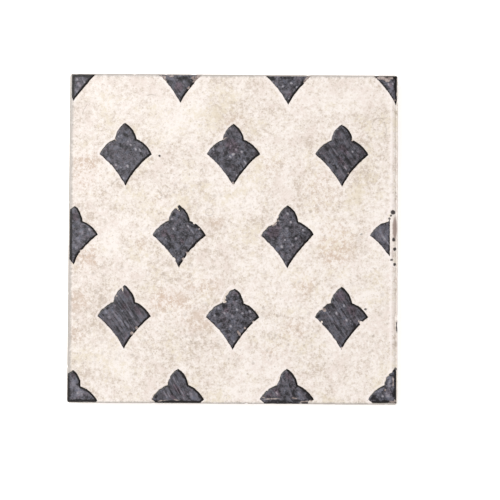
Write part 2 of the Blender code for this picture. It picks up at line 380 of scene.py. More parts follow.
motifs = {
    "top_left": {
        "at": (-3, 2), "shift": (1.8, 1.6), "trim": (0, 1.5, 1.0, 0), "borderShade": 1.0, "brushed": 0.2,
        "tone": 0.1,
        "pulls": [(0, -20, -1.0, 0, 6)],
        "light": [(1.0, -6.8, 1.0, 0.8), (2.4, -10.0, 2.2, 1.0), (5.4, -8.4, 1.2, 0.8),
                  (1.2, -14.0, 2.0, 0.9)],
        "dark": [(0.2, -18.6, 1.6, 1.2), (7.6, -5.0, 3.6, 1.0, 0), (10.6, -5.6, 1.2, 1.0)],
    },
    "top_2": {
        "at": (-1, 2), "shift": (0.2, 0.9), "trim": (0, 0, 1.0, 0), "brushed": 0.6,
        "worn": [(-11.4, -4.4, 3.2, 1.4, 0), (-9.4, -6.4, 1.6, 0.9), (9.6, -5.2, 3.8, 1.7, 50),
                 (11.4, -3.8, 2.6, 1.3, 0), (7.4, -4.6, 1.4, 1.2), (4.8, -10.8, 1.2, 0.8, 50),
                 (-5.4, -3.8, 1.8, 0.6, 0)],
        "dark": [(-7.8, -7.2, 1.4, 1.1), (1.0, -5.0, 4.6, 1.1, 0), (5.8, -7.4, 2.6, 0.9),
                 (0.0, -18.6, 1.6, 1.3), (5.6, -11.0, 1.0, 0.9)],
        "warm": [(-1.0, -10.0, 4.0, 3.0)],
    },
    "top_3": {
        "at": (1, 2), "shift": (0.2, 0.0), "trim": (0, 0, 1.3, 0), "brushed": 0.15,
        "worn": [(11.2, -4.2, 2.6, 1.3, 40), (12.2, -3.0, 2.0, 1.1, 0), (9.6, -5.8, 1.1, 0.7, 50)],
        "light": [(1.8, -6.7, 1.2, 0.9), (5.0, -9.4, 1.2, 0.8), (4.4, -12.6, 1.6, 0.6, 50),
                  (-3.4, -8.8, 1.0, 0.8), (0.6, -16.2, 1.1, 0.8)],
        "dark": [(-10.4, -4.0, 2.6, 1.4, 0), (-2.0, -3.4, 7.0, 0.9, 0), (8.4, -6.4, 1.8, 1.1, 50),
                 (0.0, -18.4, 2.0, 1.3), (2.4, -3.6, 1.2, 1.4)],
        "warm": [(1.6, -14.0, 2.2, 1.6)],
    },
    "top_right": {
        "at": (3, 2), "shift": (0.0, 0.6), "trim": (0.9, 0, 1.0, 0), "borderShade": 1.0, "brushed": 0.2,
        "worn": [(-8.8, -3.8, 3.6, 1.2, 0), (-5.8, -4.8, 2.8, 1.2, -20), (-3.6, -3.8, 2.0, 1.0, 0),
                 (0.7, -13.4, 1.4, 0.6, 90), (-0.6, -17.2, 0.8, 0.6, 0)],
        "light": [(-2.9, -9.2, 2.8, 1.3, -70), (-2.0, -7.4, 1.0, 0.8), (0.4, -4.0, 1.0, 0.7),
                  (-4.6, -7.6, 1.2, 0.8)],
        "dark": [(0.0, -8.4, 4.0, 1.4, 90), (-7.4, -8.2, 5.2, 0.9, -50), (-3.0, -14.6, 4.4, 1.0, -56),
                 (-0.4, -19.2, 1.4, 1.4), (-1.6, -3.2, 1.4, 0.8)],
        "warm": [(-3.6, -8.0, 1.6, 1.4)],
    },
    "upper_1": {
        "at": (-2, 1), "shift": (0.0, -0.3), "brushed": 0.35, "tone": 0.05,
        "pulls": [(0, 18, -0.6, 0.1, 6), (-16, 0, 0.4, -0.4, 4), (16, 0, -0.3, -0.4, 4)],
        "worn": [(-6.2, 7.7, 0.8, 0.5)],
        "light": [(-4.4, 9.7, 0.9, 0.6), (2.9, 4.8, 1.0, 0.6), (5.9, 2.1, 1.1, 0.8), (1.6, 6.9, 0.8, 0.5),
                  (-10.2, -3.4, 1.4, 1.0), (-5.9, -7.6, 1.1, 0.8), (1.3, -7.9, 1.2, 0.9),
                  (-1.1, -15.5, 1.0, 0.7), (-2.9, -8.8, 0.8, 0.5), (8.6, 1.8, 1.8, 0.7)],
        "dark": [(0.0, 11.2, 2.4, 1.3), (-3.0, 4.5, 1.8, 0.6), (9.5, -0.6, 2.4, 0.7),
                 (4.8, 11.0, 2.6, 0.8), (-10.4, -1.0, 1.2, 0.7)],
        "warm": [(-0.6, 16.6, 1.6, 1.4)],
    },
    "upper_2": {
        "at": (0, 1), "shift": (-0.2, -0.3), "brushed": 0.35,
        "bites": [(0.2, -19.6, 0.9)],
        "worn": [(-5.6, 8.7, 0.6, 1.7), (0.0, -18.0, 0.8, 0.9)],
        "light": [(4.9, 1.0, 1.0, 0.9), (-2.1, -2.0, 1.3, 0.7), (-12.1, 2.5, 1.4, 0.8),
                  (7.0, -5.4, 2.4, 0.5), (1.5, 2.2, 0.8, 0.5), (-0.4, -0.6, 0.9, 1.2),
                  (2.4, -13.6, 1.2, 0.6)],
        "dark": [(7.3, 0.1, 1.5, 1.1), (3.4, -1.4, 1.6, 0.6), (-1.5, -16.5, 1.8, 0.7),
                 (9.5, -3.6, 2.0, 0.8), (-3.4, 12.0, 1.4, 0.7), (5.4, -8.0, 3.4, 0.6),
                 (-11.0, 4.6, 1.0, 0.9), (3.0, -7.0, 2.0, 0.5)],
        "warm": [(-1.0, 4.5, 6.0, 4.5), (14.0, -0.5, 2.0, 1.6)],
    },
    "upper_3": {
        "at": (2, 1), "shift": (0.1, -0.2), "brushed": 0.75, "tone": -0.05,
        "bites": [(6.9, 9.6, 0.7)],
        "worn": [(6.2, 8.2, 0.6, 0.8), (3.9, -11.8, 0.6, 0.7), (0.4, 17.6, 0.6, 0.5)],
        "light": [(6.3, 1.2, 0.9, 0.8), (-4.0, 1.0, 3.0, 0.5), (2.2, -9.0, 2.0, 0.5)],
        "dark": [(3.0, -3.0, 5.4, 0.9), (-9.0, 3.0, 2.4, 1.3), (-4.0, -8.0, 2.2, 0.7),
                 (-7.4, -5.4, 1.2, 0.6), (-10.8, -2.6, 1.2, 0.6), (10.6, 5.0, 1.2, 1.2),
                 (1.6, 1.6, 1.0, 0.5)],
        "warm": [(1.0, 3.0, 4.5, 2.5), (13.0, 1.4, 1.6, 1.6), (-1.0, -4.0, 3.2, 2.0),
                 (-2.0, 12.0, 2.0, 1.2)],
    },
    "middle_left": {
        "at": (-3, 0), "shift": (0.8, -0.4), "stretch": (0.97, 0.93), "trim": (0, 1.1, 0, 0),
        "borderShade": 1.0,
        "brushed": 0.2, "tone": 0.14,
        "pulls": [(0, 17, 1.6, 0, 5), (0, -19, 1.0, 0, 4)],
        "worn": [(5.6, -10.9, 0.8, 0.9)],
        "light": [(6.0, 1.0, 2.4, 2.0), (4.0, -4.0, 2.2, 1.6), (10.6, 3.2, 1.2, 0.8),
                  (3.0, -9.0, 1.4, 1.0)],
        "dark": [(8.6, -7.4, 1.4, 0.9), (4.2, -13.0, 1.6, 0.9), (5.2, 0.4, 1.0, 0.6),
                 (0.8, -17.6, 1.4, 1.0)],
        "warm": [(1.6, 11.0, 4.0, 2.0)],
    },
    "middle_1": {
        "at": (-1, 0), "shift": (0.0, -0.4), "brushed": 0.2,
        "bites": [(-1.7, 16.6, 0.9), (-0.8, 15.5, 0.6), (-0.1, 14.6, 0.45), (-3.2, -15.2, 1.5),
                  (7.6, -9.9, 0.8), (9.0, 6.9, 0.7)],
        "worn": [(5.2, -11.4, 1.5, 1.3), (2.4, -14.8, 1.1, 1.1), (12.2, 3.4, 0.9, 0.8),
                 (-3.0, -14.4, 0.8, 0.7)],
        "light": [(-3.5, 3.5, 0.9, 0.6), (8.0, 2.0, 2.6, 0.6), (-12.4, 2.2, 0.8, 0.6),
                  (-4.4, 9.4, 0.9, 0.7), (5.6, 5.0, 2.0, 0.5), (-8.0, -3.0, 1.4, 0.5)],
        "dark": [(13.5, 2.2, 2.2, 0.8), (-3.0, 12.2, 2.0, 1.2), (4.6, -8.6, 2.0, 0.8),
                 (-6.0, -2.0, 3.0, 0.7), (9.4, 4.6, 1.0, 0.8), (0.2, -17.8, 1.4, 1.2),
                 (-8.0, -7.0, 1.6, 0.7), (0.4, 15.2, 1.2, 0.8)],
        "warm": [(-9.0, 1.0, 3.0, 3.0), (-3.9, -1.0, 1.6, 1.4), (2.0, -4.0, 2.5, 1.5)],
    },
    "middle_2": {
        "at": (1, 0), "shift": (0.1, -0.4), "brushed": 0.1,
        "pulls": [(16, 0, -0.3, 0.8, 4)],
        "bites": [(-7.4, 8.6, 1.0), (-8.8, 7.5, 1.2), (-10.4, 6.5, 0.9), (-13.6, 4.6, 1.0),
                  (-6.4, 10.8, 0.9)],
        "worn": [(-8.0, 6.4, 2.4, 1.0, 38), (-5.6, 8.6, 0.8, 0.8)],
        "light": [(-0.4, 3.5, 1.8, 1.0), (2.0, 8.0, 1.4, 0.9), (5.0, -2.0, 1.1, 0.9),
                  (-1.5, -3.0, 1.0, 0.8), (0.0, 13.0, 1.4, 0.7), (3.0, -6.0, 1.0, 0.8),
                  (9.4, 3.0, 1.0, 0.8), (-3.4, -7.0, 1.2, 0.8)],
        "dark": [(-5.0, 10.0, 1.6, 1.0), (-3.8, 12.2, 1.4, 0.8), (15.0, 0.9, 1.4, 1.0),
                 (4.8, -0.5, 1.2, 1.0), (-2.3, -5.2, 1.1, 1.0), (8.0, -1.0, 1.4, 0.8),
                 (1.4, -9.4, 1.2, 0.8), (-12.4, 4.4, 0.9, 0.8), (-5.4, 5.6, 1.4, 0.9),
                 (-4.8, -11.0, 1.6, 0.6)],
        "warm": [(-8.8, 1.7, 5.4, 4.5), (-6.0, 5.5, 3.0, 2.2)],
    },
    "middle_right": {
        "at": (3, 0), "shift": (0.7, 0.1), "trim": (5.4, 0, 0, 0), "borderShade": 0.45, "brushed": 0.5,
        "tone": 0.20,
        "pulls": [(-6.0, 12.0, 2.2, -0.6, 4.5)],
        "bites": [(-2.4, 7.6, 0.8)],
        "light": [(-10.0, 2.0, 2.6, 1.0), (-8.0, -1.5, 3.0, 1.2), (-5.0, -5.0, 2.2, 1.0)],
        "dark": [(-14.0, -2.0, 1.6, 0.8), (-10.4, -5.6, 2.4, 0.8), (-7.2, -10.0, 2.4, 0.8),
                 (-4.2, -14.6, 1.8, 0.9), (-9.6, 6.2, 1.2, 1.4), (-5.8, 10.4, 2.2, 0.7),
                 (-4.0, 14.4, 1.6, 1.6), (-3.6, -1.6, 1.2, 1.0)],
    },
    "lower_1": {
        "at": (-2, -1), "shift": (0.0, -0.3), "brushed": 1.0, "tone": 0.03,
        "pulls": [(0, 18, 0.1, 0.5, 4)],
        "bites": [(-1.8, 17.0, 0.95), (-1.3, 15.8, 0.65), (-1.1, 14.9, 0.45), (8.9, -7.9, 0.6)],
        "worn": [(7.5, -7.4, 1.3, 1.1), (4.7, -10.5, 1.3, 1.1), (-4.6, 12.0, 0.7, 0.6)],
        "light": [(-11.0, 2.0, 1.5, 1.2), (-9.0, -1.0, 1.3, 1.0), (-2.0, -3.0, 5.0, 0.6),
                  (1.6, -5.0, 4.0, 0.5), (-5.0, 0.0, 4.0, 0.6), (4.0, 1.0, 3.0, 0.5)],
        "dark": [(-10.2, 4.4, 1.4, 1.0), (0.0, -4.6, 5.0, 0.5), (-3.5, -8.0, 3.0, 0.7),
                 (-12.6, 0.4, 1.0, 0.8), (-5.0, 13.6, 1.8, 0.8), (3.4, -3.4, 3.4, 0.4)],
        "warm": [(1.5, 13.0, 3.0, 2.2), (0.0, 5.6, 2.6, 2.2), (8.0, 3.0, 4.0, 2.0)],
    },
    "lower_2": {
        "at": (0, -1), "shift": (0.0, -0.5), "brushed": 0.05,
        "pulls": [(1, 17, 1.4, -1.4, 3.5), (-4, 13, 1.5, -0.2, 3), (6, 10, 0.3, -0.5, 3)],
        "bites": [(-6.0, 11.0, 1.3), (-5.2, 9.0, 0.9)],
        "worn": [(3.6, -9.8, 2.6, 0.9), (12.5, -3.0, 1.0, 0.9), (7.4, -6.8, 0.9, 0.8)],
        "light": [(-8.6, 5.0, 1.1, 0.9), (0.0, 0.0, 1.5, 1.1), (-5.0, 2.0, 1.1, 0.9),
                  (6.0, 2.0, 1.1, 0.9), (2.5, 4.2, 1.1, 0.8), (1.0, -15.2, 1.2, 0.8),
                  (-11.0, 0.6, 1.1, 0.8), (-1.0, -6.0, 1.2, 0.9), (10.4, 3.0, 1.2, 0.8)],
        "dark": [(-5.6, 6.4, 1.8, 1.0), (-9.6, 1.8, 1.2, 1.0), (7.0, -0.4, 1.5, 1.1),
                 (2.5, -2.4, 1.1, 1.0), (8.4, 4.6, 1.4, 0.9), (15.0, 0.2, 1.6, 1.0),
                 (-2.4, -3.4, 1.2, 1.0), (-6.6, -2.4, 1.2, 0.9), (1.6, 10.6, 1.2, 0.9),
                 (4.0, -12.4, 1.8, 0.8)],
        "warm": [(1.6, 14.6, 2.0, 1.6), (-4.0, 4.0, 2.4, 1.6)],
    },
    "lower_3": {
        "at": (2, -1), "shift": (0.1, -0.2), "brushed": 0.8,
        "bites": [(-12.6, 5.2, 1.3), (-10.2, 7.2, 0.9), (-11.8, -3.2, 0.7), (11.8, -3.6, 0.9)],
        "worn": [(-10.2, 4.2, 1.8, 1.4), (0.2, -18.8, 0.9, 0.9), (10.6, -2.6, 0.8, 0.6)],
        "light": [(-6.0, -1.0, 5.4, 0.6), (-3.0, 2.0, 1.4, 0.8), (3.0, -2.0, 1.6, 0.6),
                  (-7.5, 1.0, 3.8, 0.5), (1.4, 7.0, 1.2, 0.6)],
        "dark": [(-14.4, 0.0, 1.6, 1.2), (14.6, -0.2, 1.8, 1.4), (-5.0, 6.5, 1.8, 1.0),
                 (1.0, 3.0, 5.0, 0.6), (-5.4, 10.4, 2.0, 0.8), (-2.6, 15.6, 1.2, 1.6),
                 (8.0, -5.4, 1.4, 1.4), (-3.4, -5.4, 3.4, 0.5)],
        "warm": [(-0.5, 12.5, 4.4, 3.2), (6.0, 4.0, 5.0, 3.0)],
    },
    "bottom_left": {
        "at": (-3, -2), "shift": (1.3, -2.0), "stretch": (0.97, 1.0), "trim": (0, 0.7, 0, 0.9),
        "borderShade": 0.8,
        "brushed": 0.1, "tone": 0.14,
        "pulls": [(0, 18, 0.9, 0, 5), (6.5, 8.3, -0.7, 0, 3)],
        "light": [(5.0, 5.0, 5.0, 3.0), (1.6, 10.0, 3.0, 1.6)],
        "dark": [(15.0, 0.2, 1.4, 1.4), (7.0, -0.6, 9.0, 1.1, 0), (2.0, -0.4, 4.0, 1.0, 0)],
        "warm": [(0.6, 15.4, 2.0, 1.4)],
    },
    "bottom_1": {
        "at": (-1, -2), "shift": (0.0, -0.8), "stretch": (0.98, 1.0), "trim": (0, 0, 0, 0.7),
        "borderShade": 0.8,
        "brushed": 1.0, "tone": 0.04,
        "bites": [(-16.4, 0.6, 0.9), (5.8, 13.4, 0.5), (-5.4, 12.4, 0.5)],
        "worn": [(-9.5, -1.2, 4.0, 0.30, 6), (-0.8, -0.7, 2.6, 0.30, -5)],
        "light": [(-8.0, 3.0, 3.0, 0.6), (-5.6, 2.4, 3.0, 0.5), (-1.0, 6.0, 5.0, 0.5),
                  (2.4, 4.0, 3.0, 0.5), (-2.4, 12.0, 2.4, 0.6), (8.6, 1.6, 3.0, 1.4)],
        "dark": [(0.0, -2.0, 14.0, 0.8, 0), (-4.0, 4.0, 3.4, 0.6), (0.8, 4.2, 4.4, 0.5),
                 (13.4, 1.2, 2.0, 1.0), (-13.6, 1.2, 1.4, 1.2), (10.6, 5.6, 1.2, 1.6)],
        "warm": [(-0.6, 6.0, 4.0, 1.6), (-3.0, 1.0, 3.0, 1.6)],
    },
    "bottom_2": {
        "at": (1, -2), "shift": (0.2, -0.5), "trim": (0, 0, 0, 0.6), "borderShade": 0.5, "brushed": 0.35,
        "pulls": [(-6.0, 12.0, 1.0, -0.4, 3)],
        "bites": [(-14.6, 3.2, 0.9), (-11.8, 5.2, 0.6), (13.6, -2.2, 1.2), (8.4, -2.9, 0.8)],
        "worn": [(-9.5, 0.0, 5.6, 0.32, 2), (4.6, 0.5, 2.2, 0.6, -12), (10.4, -1.6, 3.4, 0.5, 8),
                 (14.6, -1.0, 1.8, 0.8, 0), (-14.0, 0.8, 1.2, 0.5, 0)],
        "light": [(-2.8, 11.6, 2.0, 0.8), (7.0, 3.4, 2.0, 1.0), (-6.0, 3.4, 1.6, 0.7)],
        "dark": [(4.0, 3.0, 2.6, 1.2), (-6.0, -1.5, 8.0, 0.9, 0), (6.0, -1.2, 3.0, 0.8, 0),
                 (12.8, 1.2, 2.4, 1.2), (2.0, 7.6, 2.0, 0.7)],
        "warm": [(0.6, 13.6, 3.0, 2.0), (-6.0, 4.0, 4.0, 2.0), (-11.0, 2.0, 3.0, 1.4, 40)],
    },
    "bottom_right": {
        "at": (3, -2), "shift": (-0.2, -0.2), "trim": (1.0, 0, 0, 1.3), "borderShade": 0.7, "brushed": 0.15,
        "tone": 0.12,
        "bites": [(-6.6, 12.2, 1.3), (-5.0, 14.8, 1.5), (-7.4, 10.0, 0.7), (-2.6, 17.2, 1.5)],
        "worn": [(-1.2, 10.4, 4.8, 0.42, 90), (-6.0, 5.4, 1.0, 0.8), (-1.6, -1.8, 1.8, 0.9, 0),
                 (0.0, -1.0, 1.0, 0.8)],
        "light": [(-3.6, 10.0, 4.0, 0.9, 80), (-8.4, 5.4, 2.6, 1.1, 30), (-4.4, 2.2, 2.4, 1.6),
                  (-7.4, 1.6, 1.0, 0.8)],
        "dark": [(-13.4, 0.4, 2.6, 1.8, 20), (-10.4, -1.2, 1.8, 1.5), (0.3, 10.4, 5.8, 1.0, 90),
                 (-0.2, 5.0, 3.0, 1.2, 90), (-0.6, 1.8, 1.6, 1.2), (-5.6, 9.0, 2.0, 0.5, 80),
                 (-3.0, 14.4, 1.0, 0.8), (-6.4, -1.2, 3.0, 0.8, 0)],
    },
}

handWork = {
    # unevenness: how much, its period and its seed
    "sway": (0.22 * mm, 7.5 * mm, 2.2),         # how far an outline strays from true
    "jitter": (0.16 * mm, 2.2 * mm, 9.1),
    "ragged": (0.10 * mm, 1.5 * mm, 6.1),       # the height of the rim
    "ridges": (0.045 * mm, 1.5 * mm, 7.3),      # left by the bristles
    "pimples": (0.05 * mm, 1.6 * mm, 4.9),      # raised in the kiln
    "markEdges": (0.45, 1.3 * mm, 3.3),
    "otherAxis": 13,            # what is added to a seed for the other axis
    "brushAngle": -57,          # degrees, the way the bristles ran
    "ridgeLength": 12.0,        # times the period
    "calmShadedSide": 0.5,          # how much less the rim wavers on the side with painted shade
    "biteDepth": 0.80 * mm,
    "biteSteepness": 1.5,
    "wornDepth": 0.16 * mm,
    "markSteepness": 1.7,
    "fleckArea": 1.3,           # light marks smaller than this, in square mm, are bright flecks
    "fleckTone": 0.85,
    "darkTone": 0.8,
    "borderShadeWidth": 2.4 * mm,    # how far the painted shade along a tile's rounded side reaches in
    "pooledLevel": 0.78,        # how strong the dark rim of pooled enamel is, how much painted shade it gets on the side away from the light,
    "rimShadeMore": 0.5,          # and the least that it ever is
    "darkRimLeast": 0.36,
    "clearance": 0.005 * mm,    # what the enamel keeps below the highest point of the solid
}


def arcPoints(start, end, bulge, step):
    # points of an arc from start up to but not including end; a plus bulge lies to the left
    chord = math.hypot(end[0] - start[0], end[1] - start[1])
    alongX, alongY = (end[0] - start[0]) / chord, (end[1] - start[1]) / chord
    radius = chord ** 2 / (8 * abs(bulge)) + abs(bulge) / 2
    count = max(2, round(chord / step))
    points = []
    for i in range(count):
        along = chord * i / count
        lift = math.sqrt(radius ** 2 - (along - chord / 2) ** 2) - (radius - abs(bulge))
        lift = math.copysign(lift, bulge)
        points.append((start[0] + alongX * along - alongY * lift, start[1] + alongY * along + alongX * lift))
    return points


def motifOutline():
    corners = [motifForm[name] for name in ("petalTip", "notch", "wingTip", "footTip")]
    right = []
    for start, end, bulge in zip(corners, corners[1:], motifForm["bulges"]):
        right += arcPoints(start, end, bulge, motifForm["arcStep"])
    right.append(corners[-1])
    left = [(-x, y) for x, y in reversed(right[1:-1])]
    return [(x * mm, y * mm) for x, y in right + left]


def outlineDistance(x, y, outline):
    # distance to the outline, plus inside, and how far its nearest stretch faces the side where shade is
    # painted
    nearest = np.full(len(x), half)
    facing = np.zeros(len(x))
    inside = np.zeros(len(x), bool)
    shadeX, shadeY = motifForm["shadedTowards"]
    for (ax, ay), (bx, by) in zip(outline, outline[1:] + outline[:1]):
        dx, dy = bx - ax, by - ay
        length = math.hypot(dx, dy)
        along = np.clip(((x - ax) * dx + (y - ay) * dy) / length ** 2, 0, 1)
        gap = np.hypot(x - ax - along * dx, y - ay - along * dy)
        closer = gap < nearest
        nearest[closer] = gap[closer]
        facing[closer] = (-dy * shadeX + dx * shadeY) / length    # the outline runs clockwise
        if dy:
            inside ^= ((ay > y) != (by > y)) & (x < ax + (y - ay) * dx / dy)
    return np.where(inside, nearest, -nearest), facing


def motifPlace(work):
    column, row = work["at"]
    x = column * motifForm["columnStep"] + work["shift"][0] * mm
    y = row * motifForm["rowStep"] + motifForm["middleRowY"] + work["shift"][1] * mm
    return x, y


def makeMasterMotif(outline):
    # one motif about its own origin: a grid raised into a pad with a rounded rim, its waste cut off
    cell = motifForm["cell"]
    width = 2 * (max(x for x, _ in outline) + motifForm["skirt"])
    tall = 2 * (max(abs(y) for _, y in outline) + motifForm["skirt"])
    deselectEverything()
    bpy.ops.mesh.primitive_grid_add(
        x_subdivisions=round(width / cell), y_subdivisions=round(tall / cell), size=1, location=(0, 0, 0)
    )
    master = bpy.context.object
    master.name = "motifMaster"
    bpy.ops.transform.resize(value=(width, tall, 1))
    bpy.ops.object.transform_apply(location=True, rotation=False, scale=True)
    points = readPoints(master)
    inward, facing = outlineDistance(points[:, 0], points[:, 1], outline)
    share = np.clip(inward / motifForm["rim"], 0, 1)
    outside = np.clip(-inward / motifForm["skirt"], 0, 1)
    heights = motifForm["rise"] * np.sin(share * math.pi / 2) - motifForm["bed"] * outside
    points[:, 2] = heights
    writePoints(master, points)
    writeMask(master, "inward", inward)
    writeMask(master, "facing", facing)

    lowest = -motifForm["bed"] + 0.01 * mm
    editSelected(master, "polygons", lambda face: max(heights[i] for i in face.vertices) < lowest)
    bpy.ops.mesh.delete(type="FACE")
    backToObject()
    return master


def brushFrame(x, y, angle=handWork["brushAngle"]):
    # the same place measured along the bristles, or another line, and across it
    turn = math.radians(angle)
    return x * math.cos(turn) + y * math.sin(turn), -x * math.sin(turn) + y * math.cos(turn)


def markMask(x, y, marks, rough):
    # how strongly each place, in mm, lies in one of the marks
    mask = np.zeros(len(x))
    for markX, markY, length, width, *angle in marks:
        along, across = brushFrame(x - markX, y - markY, *angle)
        away = np.hypot(along / length, across / width) * rough
        mask = np.maximum(mask, np.clip(handWork["markSteepness"] * (1 - away), 0, 1))
    return mask


def drawMotif(points, x, y, work):
    # moves the points to the motif's place on the face, drawn a little out of true
    stretchX, stretchY = work.get("stretch", (1, 1))
    drawnX, drawnY = x * stretchX, y * stretchY
    for pullX, pullY, dx, dy, reach in work.get("pulls", []):
        near = np.exp(-((x - pullX) ** 2 + (y - pullY) ** 2) / reach ** 2)
        drawnX += dx * near
        drawnY += dy * near
    placeX, placeY = motifPlace(work)
    points[:, 0] = placeX + drawnX * mm
    points[:, 1] = placeY + drawnY * mm
    flat = points * (1, 1, 0)
    for amount, period, seed in (handWork["sway"], handWork["jitter"]):
        for axis in (0, 1):
            points[:, axis] += amount * waver(flat, period, seed + handWork["otherAxis"] * axis)
    return flat


def brushRelief(flat, inward, facing, streaky):
    # the rim wavers, and the top keeps the bristles' ridges and the kiln's pimples
    nearRim = np.clip(1 - np.abs(inward) / motifForm["rim"], 0, 1)
    onTop = np.clip(inward / motifForm["rim"], 0, 1)
    along, across = brushFrame(flat[:, 0], flat[:, 1])
    brushed = np.column_stack((along / handWork["ridgeLength"], across, 0 * across))
    relief = nearRim * (1 - handWork["calmShadedSide"] * facing) * swing(flat, *handWork["ragged"])
    relief += onTop * streaky * swing(brushed, *handWork["ridges"])
    return relief + onTop * (1 - streaky) * swing(flat, *handWork["pimples"])


def borderShadeLine(points, trim):
    # painted shade: a dark line where the enamel runs over the tile's rounded sides
    borderShade = np.zeros(len(points))
    for inset, reach in zip(trim, sideReaches(points[:, 0], points[:, 1]).values()):
        if inset:
            near = np.clip(1 + (reach + inset * mm) / handWork["borderShadeWidth"], 0, 1)
            borderShade = np.maximum(borderShade, near)
    return borderShade


def trimMotif(motif, trim):
    # cuts off what lies beyond each trim
    points = readPoints(motif)
    for (nx, ny), inset in zip(((1, 0), (-1, 0), (0, 1), (0, -1)), trim):
        reach = half - inset * mm
        if inset and np.max(points[:, 0] * nx + points[:, 1] * ny) > reach:
            editSelected(motif, "polygons", lambda face: True)
            bpy.ops.mesh.bisect(
                plane_co=(nx * reach, ny * reach, 0), plane_no=(nx, ny, 0),
                clear_outer=True, clear_inner=False,
            )
            bpy.ops.mesh.select_all(action="SELECT")
            bpy.ops.mesh.delete_loose()
            backToObject()


def placeMotif(master, name, work, material):
    motif = master.copy()
    motif.data = master.data.copy()
    motif.name = "enamel_" + name
    motif.data.name = motif.name
    bpy.context.scene.collection.objects.link(motif)
    points = readPoints(motif)
    inward, facing = readMask(motif, "inward"), readMask(motif, "facing")
    x, y, height = points[:, 0] / mm, points[:, 1] / mm, points[:, 2].copy()
    flat = drawMotif(points, x, y, work)
    height += brushRelief(flat, inward, facing, work["brushed"])

    # what was knocked out, rubbed off or laid on thicker
    rough = 1 + swing(flat, *handWork["markEdges"])
    worn, light, dark, warm = (
        markMask(x, y, work.get(kind, []), rough) for kind in ("worn", "light", "dark", "warm")
    )
    small = [mark for mark in work.get("light", []) if mark[2] * mark[3] < handWork["fleckArea"]]
    flecks = markMask(x, y, small, rough)
    for biteX, biteY, radius in work.get("bites", []):
        away = np.hypot(x - biteX, y - biteY) / radius * rough
        height -= handWork["biteDepth"] * np.clip(handWork["biteSteepness"] * (1 - away ** 2), 0, 1)
    height -= worn * handWork["wornDepth"]

    # what the material reads
    trim = work.get("trim", (0, 0, 0, 0))
    # the dark rim: pooled enamel all round, with painted shade on the side facing away from the light
    pooled = np.clip(handWork["pooledLevel"] + handWork["rimShadeMore"] * facing, handWork["darkRimLeast"], 1)
    pooled *= np.clip(1 - inward / motifForm["darkRimWidth"], 0, 1)
    tone = work.get("tone", 0) + light + handWork["fleckTone"] * flecks - handWork["darkTone"] * dark
    # the painted shade along the tile's rounded sides joins the dark rim
    writeMask(motif, "pooled", np.maximum(pooled, work.get("borderShade", 0) * borderShadeLine(points, trim)))
    writeMask(motif, "worn", worn)
    writeMask(motif, "warm", warm)
    writeMask(motif, "tone", tone)
    writeMask(motif, "brushed", np.full(len(points), work["brushed"]))

    level = glazeLevel(points[:, 0], points[:, 1])
    points[:, 2] = np.minimum(level + height, tileHigh.z - handWork["clearance"])
    writePoints(motif, points)
    trimMotif(motif, trim)
    capRim(motif, readPoints(motif)[:, 2].min() - motifForm["underside"])
    finishPiece(motif, material)


# Cream glaze, a thin coat over the face that laps down the sides

glazeForm = {
    "cuts": (2, 87),
    "sideCuts": 5,
    "lap": 6.6 * mm,                        # how far it comes down the sides
    "lapRun": (3.4 * mm, 24 * mm, 5.2),     # unevenness of its lower edge: how much, period and seed
    "lapFray": (0.8 * mm, 4 * mm, 9.6),
    "runFrom": 0.2 * mm,                    # how far below the rounded edge the running starts
    "reliefFade": 4 * mm,                   # the face's relief comes in over this height of the coat
    "innerZ": 13.2 * mm,
    "pits": 260,
    "pitArea": 0.96,                        # they keep within this share of the face
    "pitCrowd": -0.45,                      # and crowd about this share of the way down
    "pitRadius": (0.9 * mm, 1.6 * mm),
    "pitDepth": (0.05 * mm, 0.15 * mm),
    "haloFrom": 0.1 * mm,                   # a painted highlight: a pale narrow band round each motif
    "haloTo": 1.5 * mm,
    "haloLevel": 0.55,                      # and is paler on the lit side, away from the painted shade
    "haloMore": 0.45,
    "haloReach": 22 * mm,                   # what is farther from a motif's middle isn't measured
    # painted highlight along the crest of the bead
    "beadHighlight": 0.6,
    # how wide shade is painted over each top edge, and how strongly
    "edgeShades": {
        "right": (2.6 * mm, 0.50), "left": (4.0 * mm, 0.90),
        "top": (3.3 * mm, 0.85), "bottom": (2.6 * mm, 0.66),
    },
    "fadeFrom": 1.6 * mm,                   # the painted edge shade fades below this depth, over this length,
    "fadeLength": 2.4 * mm,
    "sideShade": 0.3,                         # down to this share
    "seed": 5,
}


def paintedHighlightAround(x, y, outline):
    # painted highlight: a pale band just outside every motif, stronger on its lit side
    highlightHalo = np.zeros(len(x))
    reach = glazeForm["haloReach"]
    middle = (glazeForm["haloFrom"] + glazeForm["haloTo"]) / 2
    spread = (glazeForm["haloTo"] - glazeForm["haloFrom"]) / 2
    for work in motifs.values():
        placeX, placeY = motifPlace(work)
        near = np.flatnonzero((np.abs(x - placeX) < reach) & (np.abs(y - placeY) < reach))
        inward, facing = outlineDistance(x[near] - placeX, y[near] - placeY, outline)
        band = np.clip(1 - np.abs(-inward - middle) / spread, 0, 1)
        band *= glazeForm["haloLevel"] - glazeForm["haloMore"] * facing
        highlightHalo[near] = np.maximum(highlightHalo[near], band)
    return highlightHalo


def runDown(points, bottomZ):
    # the lower edge runs unevenly round the sides
    flat = points * (1, 1, 0)
    run = swing(flat, *glazeForm["lapRun"]) + swing(flat, *glazeForm["lapFray"])
    justOutside = 1.001
    sideTop = faceZ - arrisDrop(points[:, 0] * justOutside, points[:, 1] * justOutside)
    below = np.clip((sideTop - points[:, 2]) / np.maximum(sideTop - bottomZ, mm), 0, 1)
    onSide = points[:, 2] < faceZ - slabForm["left"] - glazeForm["runFrom"]
    points[:, 2] -= np.where(onSide, below * run, 0)


